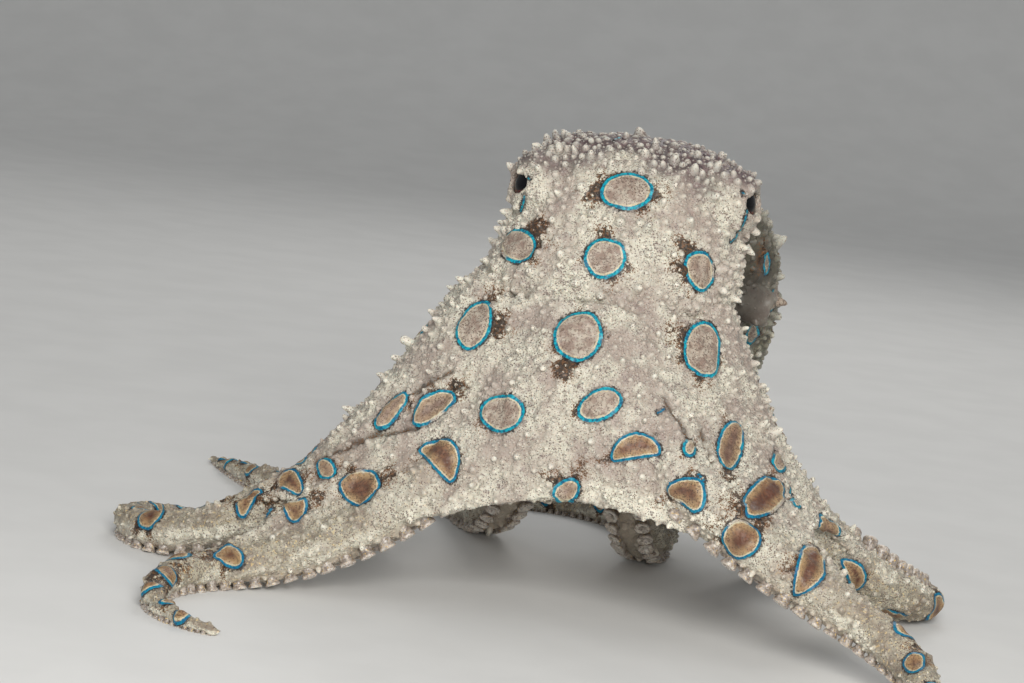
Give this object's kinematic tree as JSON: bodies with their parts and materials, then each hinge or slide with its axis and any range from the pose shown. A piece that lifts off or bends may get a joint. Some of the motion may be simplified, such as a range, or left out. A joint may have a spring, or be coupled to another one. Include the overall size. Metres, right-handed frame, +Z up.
{
  "type": "blue ringed octopus",
  "caption": "Life-size still blue ringed octopus, raised on its spread arms with the mantle hung back, for display.",
  "frame": {"origin": "on the floor, under the middle of the footprint of the spread arms", "axes": "+X to the right of the animal as it is seen from the front, +Y from its front to its back, +Z up"},
  "size_m": [0.0852, 0.0914, 0.0462],
  "materials": {
    "skin": "wet, soft skin with papillae",
    "web_skin": "wet, thin skin",
    "mantle_skin": "wet, soft skin with papillae",
    "funnel_skin": "wet, smooth skin",
    "eye": "glossy, wet eye"
  },
  "bodies": {
    "root": {"head": "skin", "mantle": "mantle_skin", "funnel": "funnel_skin", "eye_left": "eye", "eye_right": "eye", "arm_left_1_a": "skin", "arm_left_1_b": "skin", "arm_left_1_c": "skin", "arm_left_2_a": "skin", "arm_left_2_b": "skin", "arm_left_2_c": "skin", "arm_left_3_a": "skin", "arm_left_3_b": "skin", "arm_left_3_c": "skin", "arm_left_4_a": "skin", "arm_left_4_b": "skin", "arm_left_4_c": "skin", "arm_right_1_a": "skin", "arm_right_1_b": "skin", "arm_right_1_c": "skin", "arm_right_2_a": "skin", "arm_right_2_b": "skin", "arm_right_2_c": "skin", "arm_right_3_a": "skin", "arm_right_3_b": "skin", "arm_right_3_c": "skin", "arm_right_4_a": "skin", "arm_right_4_b": "skin", "arm_right_4_c": "skin", "web_front": "web_skin", "web_right_1_2": "web_skin", "web_right_2_3": "web_skin", "web_right_3_4": "web_skin", "web_back": "web_skin", "web_left_3_4": "web_skin", "web_left_2_3": "web_skin", "web_left_1_2": "web_skin"}
  },
  "joints": []
}
